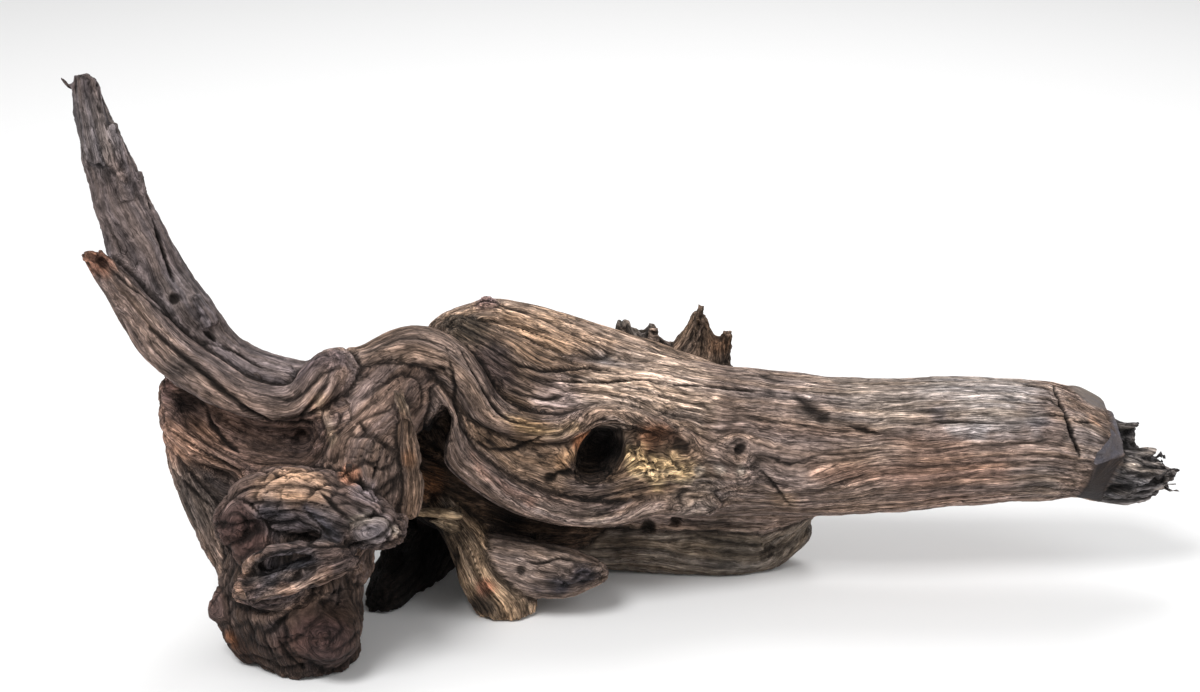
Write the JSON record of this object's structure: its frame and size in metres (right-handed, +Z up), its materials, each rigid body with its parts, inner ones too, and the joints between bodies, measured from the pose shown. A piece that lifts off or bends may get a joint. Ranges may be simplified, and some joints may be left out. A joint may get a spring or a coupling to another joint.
{
  "type": "piece of driftwood",
  "caption": "Weathered trunk end with its folded root clump, an upright horn of wood, a burl foot, a knothole and a sawn, splintered end.",
  "frame": {"origin": "On the ground, under the middle of the bounding box.", "axes": "+X runs along the trunk to its sawn end, -Y is the front with the burl and the knothole, +Z is up."},
  "size_m": [0.895, 0.3358, 0.4404],
  "materials": {
    "weathered_wood": "grey-brown sun-bleached wood, dry and dull, rough along the grain"
  },
  "bodies": {
    "root": {"driftwood": "weathered_wood"}
  },
  "joints": []
}
